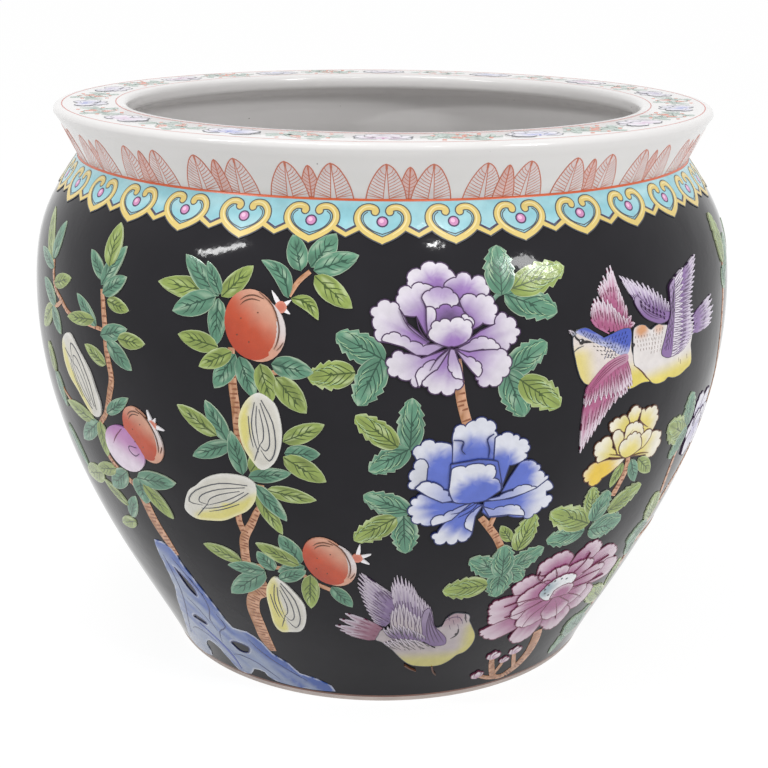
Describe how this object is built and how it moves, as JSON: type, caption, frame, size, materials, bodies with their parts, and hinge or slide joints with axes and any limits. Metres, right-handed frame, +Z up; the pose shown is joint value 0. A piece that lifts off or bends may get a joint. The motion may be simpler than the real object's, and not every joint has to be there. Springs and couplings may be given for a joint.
{
  "type": "chinese fish bowl jardiniere",
  "caption": "Large round porcelain fish bowl on a narrow foot, with a swelling body, a flared neck, a broad flat rim and raised enamel flowers, fruit trees and songbirds.",
  "frame": {"origin": "centre of the foot, on the surface that the bowl stands on", "axes": "+Z up along the bowl's axis, -Y towards the front of the painted scene, +X to the viewer's right"},
  "size_m": [0.4118, 0.4118, 0.3223],
  "materials": {
    "porcelain": "glossy glaze",
    "turquoise_enamel": "glossy glaze",
    "rock_enamel": "glossy glaze",
    "peach_enamel": "glossy glaze",
    "iron_red_enamel": "glossy glaze",
    "citron_enamel": "glossy glaze",
    "lilac_enamel": "glossy glaze",
    "blue_enamel": "glossy glaze",
    "cream_enamel": "glossy glaze",
    "pink_enamel": "glossy glaze",
    "leaf_enamel": "glossy glaze",
    "bark_enamel": "glossy glaze"
  },
  "bodies": {
    "root": {"blossom_branch_back": "bark_enamel", "blossom_branch_front": "bark_enamel", "blue_peony_back": "blue_enamel", "blue_peony_front": "blue_enamel", "citron_left_back": "citron_enamel", "citron_left_front": "citron_enamel", "citron_lower_front": "citron_enamel", "citron_middle_front": "citron_enamel", "citron_upper_front": "citron_enamel", "fruit_tree_front": "leaf_enamel", "left_tree_back": "leaf_enamel", "left_tree_front": "leaf_enamel", "lilac_peony_back": "lilac_enamel", "lilac_peony_front": "lilac_enamel", "peach_back": "peach_enamel", "peach_front": "peach_enamel", "peony_branch_back": "leaf_enamel", "peony_branch_front": "leaf_enamel", "peony_leaves_left_back": "leaf_enamel", "peony_leaves_left_front": "leaf_enamel", "peony_leaves_lower_back": "leaf_enamel", "peony_leaves_lower_front": "leaf_enamel", "peony_leaves_middle_back": "leaf_enamel", "peony_leaves_middle_front": "leaf_enamel", "peony_leaves_right_back": "leaf_enamel", "peony_leaves_right_front": "leaf_enamel", "peony_leaves_top_back": "leaf_enamel", "peony_leaves_top_front": "leaf_enamel", "pink_peony_back": "pink_enamel", "pink_peony_front": "pink_enamel", "pomegranate_left_back": "iron_red_enamel", "pomegranate_left_front": "iron_red_enamel", "pomegranate_lower_front": "iron_red_enamel", "pomegranate_spray_front": "leaf_enamel", "pomegranate_upper_front": "iron_red_enamel", "porcelain_body": "porcelain", "ruyi_collar": "turquoise_enamel", "scholar_rock_back": "rock_enamel", "scholar_rock_front": "rock_enamel", "side_flower_back": "lilac_enamel", "side_flower_front": "lilac_enamel", "side_spray_back": "leaf_enamel", "side_spray_front": "leaf_enamel", "songbird_blue_back": "blue_enamel", "songbird_blue_front": "blue_enamel", "songbird_lower_front": "cream_enamel", "songbird_purple_front": "lilac_enamel", "yellow_peony_front": "cream_enamel", "yellow_peony_leaves_front": "leaf_enamel"}
  },
  "joints": []
}
